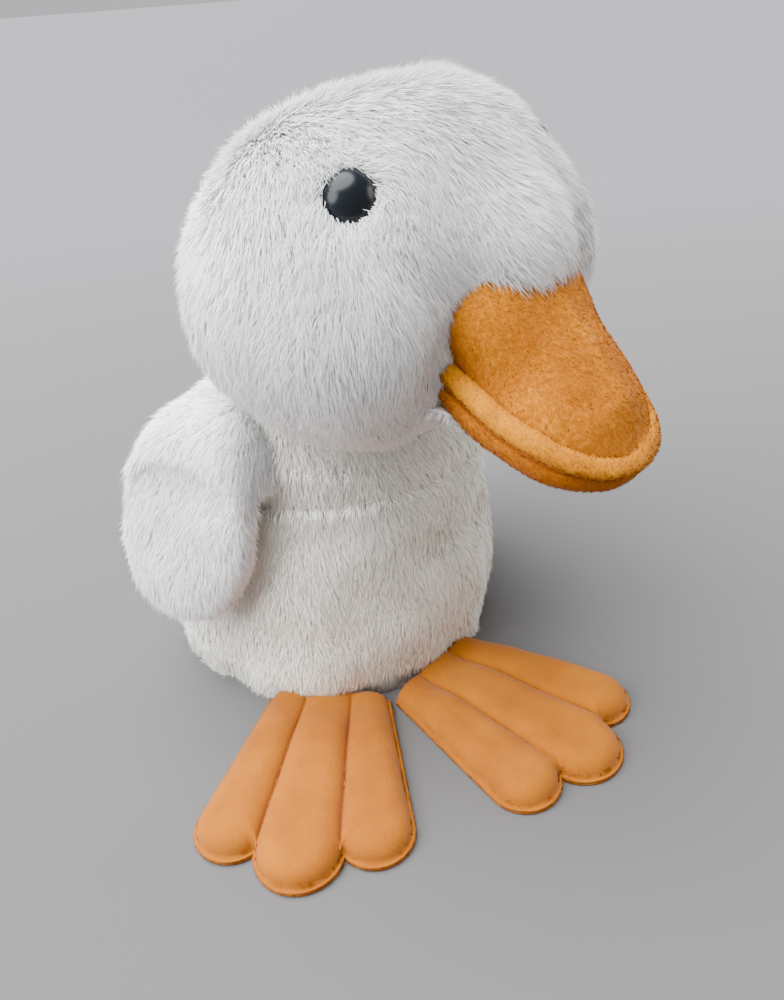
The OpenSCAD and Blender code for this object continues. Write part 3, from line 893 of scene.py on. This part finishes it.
def body_side(y, z):
    """How far the sleeve's or neck's backing lies from the plane of symmetry, at y and z."""
    t = np.clip((z - SLEEVE_H) / 36.0, 0, 1)
    across = np.where(z < SLEEVE_H, sleeve_r(z) - BACKING_IN, 61.4 - 8.5 * t)
    along = np.where(z < SLEEVE_H, sleeve_r(z) - BACKING_IN, 61.4 - 20.0 * t)
    middle = -z * math.tan(LEAN) * (1 - t) - 28.0 * t
    return across * np.sqrt(np.clip(1 - ((y - middle) / along) ** 2, 0.05, 1))


def make_shoulder(left):
    """The fur over a wing's root seam: it comes off the neck and rolls over the wing's top edge."""
    nu, nv = 60, 26
    a = np.radians(np.linspace(32, 150, nu))
    line = wing_outline(2.0)
    edge = np.column_stack([np.interp(a, circle(WING_EDGE_N), line[:, k]) for k in (0, 1)])
    high = np.clip((np.sin(a) - 0.45) / 0.55, 0, 1) ** 0.6
    outer = wing_place(np.column_stack([np.full(nu, -9.4), edge[:, 0] * 0.95 - 1, edge[:, 1] - 6 * high]), 0)
    top = wing_place(np.column_stack([np.full(nu, -7.0), edge[:, 0], edge[:, 1] + 9 * high]), 0)
    inner = top.copy()
    inner[:, 2] = edge[:, 1] + WING_ROOT[2] + 7 * high
    inner[:, 0] = -body_side(inner[:, 1], inner[:, 2]) + 1.0
    v = np.linspace(0, 1, nv)[:, None, None]
    pts = inner * (1 - v) ** 2 + 2 * v * (1 - v) * top + v ** 2 * outer
    verts, faces = shell(pts, 1.0, nu, nv)
    if left:
        verts = verts * [-1, 1, 1]
        faces = [f[::-1] for f in faces]
    return make_object(f"shoulder_{SIDES[left]}_skin", verts, faces, FUR_SKIN)


# ------------------------------------------------------------------ feet
MID_R, SIDE_R = 16.0, 14.0
STITCH_STEP, STITCH_R = 3.2, 0.42
MID_C = np.array([0.0, MID_R - FOOT_L])
SIDE_C = np.array([25.5, 24.5 - FOOT_L])


def foot_front():
    """The scalloped edge of the toes, from the outer side of one side toe to the other."""
    d = np.linalg.norm(SIDE_C - MID_C)
    a = (MID_R ** 2 - SIDE_R ** 2 + d * d) / (2 * d)
    tilt = math.atan2(SIDE_C[1] - MID_C[1], SIDE_C[0] - MID_C[0])
    mid_from = tilt - math.acos(a / MID_R)
    side_to = -math.pi + tilt + math.acos((d - a) / SIDE_R)
    s = np.linspace(math.radians(12), side_to, 60)
    right = SIDE_C + SIDE_R * np.column_stack([np.cos(s), np.sin(s)])
    m = np.linspace(mid_from, -math.pi - mid_from, 60)
    mid = MID_C + MID_R * np.column_stack([np.cos(m), np.sin(m)])
    line = np.concatenate([right, mid[1:-1], (right * [-1, 1])[::-1]])
    step = np.r_[0, np.cumsum(np.linalg.norm(np.diff(line, axis=0), axis=1))]
    at = np.linspace(0, step[-1], 151)
    return np.column_stack([np.interp(at, step, line[:, 0]), np.interp(at, step, line[:, 1])])


def line_distance(p, a, b):
    ab = b - a
    t = np.clip(((p - a) @ ab) / (ab @ ab), 0, 1)
    return np.linalg.norm(p - (a + t[:, None] * ab), axis=1)


CHANNEL = [(np.array([s * 9.3, 3.0]), np.array([s * 15.2, 7.5 - FOOT_L])) for s in (-1, 1)]


def foot_grid():
    """The foot's flat points, row by row, with their distances from its edge and from its seams."""
    front = foot_front()
    n, nv = len(front), 90
    base = np.column_stack([np.linspace(25, -25, n), np.full(n, 4.5)])
    t = 1 - (1 - np.linspace(0, 1, nv)) ** 1.35
    flat = base[None] * (1 - t[:, None, None]) + front[None] * t[:, None, None]
    p = flat.reshape(-1, 2)
    edge = np.full(len(p), 1e9)
    border = np.concatenate([base[:1], front, base[-1:]])
    for i in range(len(border) - 1):
        edge = np.minimum(edge, line_distance(p, border[i], border[i + 1]))
    seam = np.minimum(line_distance(p, *CHANNEL[0]), line_distance(p, *CHANNEL[1]))
    return n, nv, p, edge, seam


def round_up(d, r):
    """The height, 0 to 1, of a rounded edge of radius r at the distance d from it."""
    return np.sqrt(np.clip(1 - (1 - np.clip(d / r, 0, 1)) ** 2, 0, 1))


def make_foot(left):
    foot = f"foot_{SIDES[left]}"
    sign = 1 if left else -1
    n, nv, p, edge, seam = foot_grid()
    puff = np.minimum(round_up(edge - 1.3, 8.5), 0.38 + 0.62 * round_up(seam, 8.0))
    low = smooth(0, 20, -p[:, 1])
    lump = waves(with_zero(p), 24, 71 + left) * 0.5
    top = 2.3 + (FOOT_T - 1.9 + lump) * puff * (0.62 + 0.38 * low)
    under = 1.35 + 0.2 * waves(with_zero(p), 9, 73)
    faces = grid_faces(n, nv, False, 0, True) + grid_faces(n, nv, False, n * nv)
    faces += wall_faces(n, nv, False, True)

    def place(q):
        q = turn_z(q, math.radians(sign * (SPLAY + 3.5 * left))) + [sign * FOOT_X, -FOOT_Y, 0]
        return turn_z(q, math.radians(-TWIST))

    def slab(name, plan, high, low, material):
        """A closed piece between two heights over the same plan."""
        stack = np.concatenate([np.column_stack([plan, high]), np.column_stack([plan, low])])
        return make_object(name, place(stack), faces, material)

    upper = slab(f"{foot}_upper", p, top, np.minimum(under, top - 0.4), FOOT_TOP)
    seat(upper, foot, f"{foot}_top")
    inner = np.maximum(top - 1.4 - 1.2 * smooth(4, 0, edge), 1.8)
    wad = slab(f"{foot}_wadding", p * 0.985 + [0, -0.5], inner, np.full(len(p), 1.5), FIBRE)
    seat(wad, foot, f"{foot}_fill")
    sole = slab(f"{foot}_sole_cloth", p, np.full(len(p), 1.15), 0.25 * smooth(3.0, 0.0, edge) + 0.05,
                FOOT_SOLE)
    seat(sole, foot, f"{foot}_sole")

    verts, faces, seg, rings = [], [], 8, 6
    for a, b in CHANNEL:
        run = np.linalg.norm(b - a)
        way = (b - a) / run
        across = np.array([-way[1], way[0]])
        for k in range(int((run - 6) / STITCH_STEP)):
            mid = a + way * (6.5 + k * STITCH_STEP)
            z = top[np.argmin(np.linalg.norm(p - mid, axis=1))] + 0.1
            start = len(verts)
            for r in range(rings):
                f = r / (rings - 1)
                size = STITCH_R * math.sqrt(max(1 - (2 * f - 1) ** 4, 0.02))
                c = mid + way * (f - 0.5) * 2.6
                sink = 0.25 * (2 * f - 1) ** 2
                for q in range(seg):
                    g = 2 * math.pi * q / seg
                    verts.append([*(c + across * size * math.cos(g)), z + size * math.sin(g) - sink])
            faces += capped_faces(seg, rings, start)
    stitches = make_object(f"{foot}_stitches", place(np.array(verts)), faces, THREAD)
    seat(stitches, foot, f"{foot}_stitching")
    return upper


# ------------------------------------------------------------------ build
sleeve = make_sleeve()
neck = make_neck()
head = make_head()
make_wadding()
cover, lip = make_upper_bill()
make_mouth()
low = make_lower_bill()
chin = make_chin()
make_eyes()
wings = [make_wing(0), make_wing(1)]
shoulders = [make_shoulder(0), make_shoulder(1)]
feet = [make_foot(0), make_foot(1)]


def outward(centre):
    """Keeps only faces that look away from a centre, so that no fur grows inside."""
    def test(mid, nrm):
        return (np.sum((mid - centre) * nrm, 1) > 0).astype(float)
    return test


def both(*tests):
    def test(mid, nrm):
        k = np.ones(len(mid))
        for f in tests:
            k = k * f(mid, nrm)
        return k
    return test


def constant(v):
    return lambda pos, nrm: np.full(len(pos), float(v))


def toward(way):
    """A nap that leans the same way over the whole piece."""
    return lambda pos, nrm: np.tile(way, (len(pos), 1))


def facing(way, least):
    """Keeps the faces whose normal, along a direction, is more than a least value."""
    return lambda mid, nrm: (np.sum(nrm * way, 1) > least).astype(float)


def along_bill(drop):
    """A nap toward the bill's tip, leaning a little down."""
    return toward(turn_x([0, -1.0, -drop], BILL_PITCH)[0])


def at(p):
    return tuple(to_world(p)[0])


def dress(pieces, body):
    """Gives pieces of fur the body that carries them."""
    for piece in pieces:
        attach(piece, body)


dress(grow("head_pile", head, STRANDS["head"], 1, head_length, head_lift, head_flow, HEAD_PILE_W, FUR_HEAD,
           HEAD_TUFT, both(outward(HEAD_C), off_eye), 0.25, 3), "head")


def axis_out(centre, weights, least):
    """Keeps the outer faces of a tube and drops those of its rims and its inside."""
    return lambda mid, nrm: (np.sum((mid - centre) * weights * nrm, 1) > least).astype(float)


def body_flow(pos, nrm):
    return [0.0, 0.0, -1.0] + swirl(pos, 30, (81, 82, None)) * 0.35


def body_long(pos, nrm):
    return 7.0 + 0.7 * waves(pos, 20, 84) + 2.5 * smooth(16, 3, pos[:, 2])


def body_lift(pos, nrm):
    seam = np.exp(-((pos[:, 2] - 96) / 7) ** 2)
    return 22 + 6 * waves(pos, 18, 85) + 14 * smooth(12, 2, pos[:, 2]) - 3 * seam


dress(grow("body_pile", sleeve, STRANDS["body"], 2, body_long, body_lift, body_flow, PILE_W, FUR_BODY_CREAM_AND_SHADE,
           BODY_TUFT, axis_out([0.0, -5.0, 45.0], [1, 1, 0], 25), 0.2, 2), "sleeve")


def wing_flow(pos, nrm):
    return [0.0, 0.25, -1.0] + 0.3 * swirl(pos, 30, (88, 89, None))


def wing_long(pos, nrm):
    return 8.5 + 0.8 * waves(pos, 20, 86)


def wing_lift(pos, nrm):
    return 30 + 6 * waves(pos, 18, 87)


for s, side in enumerate(SIDES):
    wing, sign, strip = f"wing_{side}", 1 if s else -1, shoulders[s]
    dress(grow(f"{wing}_pile", wings[s], STRANDS["wing"], 3 + s, wing_long, wing_lift, wing_flow, PILE_W,
               FUR_HEAD, BODY_TUFT, None, 0.22), wing)
    pile = grow(f"shoulder_{side}_pile", strip, STRANDS["shoulder"], 20 + s, wing_long, wing_lift,
                toward([sign * 0.5, 0.2, -1.0]), PILE_W, FUR_HEAD, BODY_TUFT,
                facing([sign * 0.7, 0, 0.7], -0.2), 0.25)
    for o in (strip, *pile):
        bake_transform(o)

# The neck's lower ring spans sleeve to neck and its upper ring neck to head; each gets its pile, and its
# transform is baked into its mesh. Points along each ring's own tilted axis are listed but not used.
LOW_AXIS, HIGH_AXIS = unit([0, -0.12, 0.99]), unit([0, -0.36, 0.93])
LOW_C, MID_C = np.array([0, -9.5, 93.5]), np.array([0, -19.3, 113.6])
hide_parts("neck_fur")
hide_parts("neck_lining")
for i, (part, a, b, lo_at, hi_at) in enumerate((
        ("low", "sleeve", "neck", at(LOW_C + 6.5 * LOW_AXIS), at(LOW_C + 14.5 * LOW_AXIS)),
        ("high", "neck", "head", at(MID_C + 6.0 * HIGH_AXIS), at(MID_C + 16.0 * HIGH_AXIS)))):
    pile = grow(f"neck_{part}_pile", neck[i], STRANDS["neck"], 7 + i, body_long, body_lift, body_flow,
                PILE_W, FUR_BODY_CREAM_AND_SHADE, BODY_TUFT, axis_out([0, -18, 112], [1, 1, 0.3], 20), 0.2)
    for o in (neck[i], neck[i + 2], *pile):
        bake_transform(o)


def chin_long(pos, nrm):
    return 3.5 + 5.0 * smooth(-20, 6, turn_x(pos - HINGE, -BILL_PITCH)[:, 1])


def chin_flow(pos, nrm):
    return [0, 0.5, -1.0] + 0.2 * swirl(pos, 20, (91, 91, 91))


fur = grow("chin_pile", chin, STRANDS["chin"], 9, chin_long, constant(24), chin_flow, PILE_W, FUR_HEAD,
           BODY_TUFT, outward(HEAD_C), 0.25)
for o in (chin, *fur):
    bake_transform(o)
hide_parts("chin_fur")

BILL_MID = from_bill([0, -25, 4])[0]
dress(grow("bill_fuzz", cover, STRANDS["bill"], 10, constant(1.7), constant(42), along_bill(0.2), BILL_FUZZ_W,
           FUZZ_BILL, FUZZ_TUFT, outward(BILL_MID), 0.5), "head")
dress(grow("lip_fuzz", lip, STRANDS["lip"], 11, constant(1.6), constant(48), along_bill(0.2), BILL_FUZZ_W,
           FUZZ_LIP_PAINTED_LIGHT, FUZZ_TUFT, None, 0.6), "head")
dress(grow("lower_fuzz", low, STRANDS["lower"], 12, constant(1.6), constant(48), along_bill(0.4), LOW_FUZZ_W,
           FUZZ_LOW_PAINTED_SHADE, FUZZ_TUFT, outward(BILL_MID), 0.6), "jaw")
for s, side in enumerate(SIDES):
    dress(grow(f"foot_{side}_fuzz", feet[s], STRANDS["foot"], 14 + s, constant(1.5), constant(46),
               toward([0.3, -1.0, 0.0]), FOOT_FUZZ_W, FUZZ_FOOT, FUZZ_TUFT, facing([0, 0, 1], -0.2), 0.7),
          f"foot_{side}")

# Inner pieces keep their CAD shape and get their real materials.
INNER = {
    "hand_lining": LINING, "finger_pocket": LINING,
    "upper_bill_fill": FIBRE, "upper_bill_board": BOARD, "lower_bill_board": BOARD,
    "eye_washer_right": WASHER, "eye_washer_left": WASHER,
}
for name, mat in INNER.items():
    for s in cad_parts[name].material_slots:
        s.material = mat


def stage():
    bpy.ops.mesh.primitive_plane_add(size=400, location=(0, 0, 0))
    floor = bpy.context.object
    floor.name = "floor"
    mat, nodes, links, bsdf = new_material("floor_paper_painted_light")
    # The floor's colour is painted light: darker and warmer at the front, lighter and cooler toward the back,
    # as if the back were lit more brightly.
    spot = nodes.new("ShaderNodeNewGeometry")
    along = nodes.new("ShaderNodeVectorMath")
    along.operation = "DOT_PRODUCT"
    along.inputs[1].default_value = (0.73, 0.68, 0.0)
    wire(links, spot, "Position", along, 0)
    reach = nodes.new("ShaderNodeMapRange")
    set_inputs(reach, {"From Min": -0.1, "From Max": 0.9})
    wire(links, along, "Value", reach, "Value")
    ramp = nodes.new("ShaderNodeValToRGB")
    ramp.color_ramp.elements[0].color = (0.080, 0.0755, 0.0745, 1)
    ramp.color_ramp.elements[1].color = (0.145, 0.145, 0.152, 1)
    wire(links, reach, "Result", ramp, "Fac")
    wire(links, ramp, "Color", bsdf, "Base Color")
    bsdf.inputs["Roughness"].default_value = 0.8
    floor.data.materials.append(mat)

    sun = bpy.data.lights.new("top", "SUN")
    sun.energy, sun.angle, sun.color = 15.0, math.radians(70), (0.97, 0.985, 1.0)
    aim(add_object("top", sun), (0.22, -0.22, -1.0))
    middle = Vector((0.0, 0.0, 0.11))
    for name, place, size, power, color in (
            ("left_back", (-0.95, 0.35, 0.60), 0.8, 20.0, (0.94, 0.97, 1.0)),
            ("right", (0.85, -0.75, 0.45), 0.7, 7.0, (1.0, 0.98, 0.94))):
        data = bpy.data.lights.new(name, "AREA")
        data.shape, data.size, data.energy, data.color = "DISK", size, power, color
        lamp = add_object(name, data)
        lamp.location = place
        aim(lamp, middle - Vector(place))
    world = bpy.data.worlds.new("studio") if scene.world is None else scene.world
    scene.world = world
    world.use_nodes = True
    back = world.node_tree.nodes["Background"]
    back.inputs["Color"].default_value = (0.95, 0.97, 1.0, 1)
    tree = world.node_tree
    coord = tree.nodes.new("ShaderNodeTexCoord")
    split = tree.nodes.new("ShaderNodeSeparateXYZ")
    rise = tree.nodes.new("ShaderNodeMapRange")
    set_inputs(rise, {"From Min": 0.05, "From Max": 0.75, "To Min": 0.62, "To Max": 0.30})
    wire(tree.links, coord, "Generated", split, "Vector")
    wire(tree.links, split, "Z", rise, "Value")
    wire(tree.links, rise, "Result", back, "Strength")


stage()
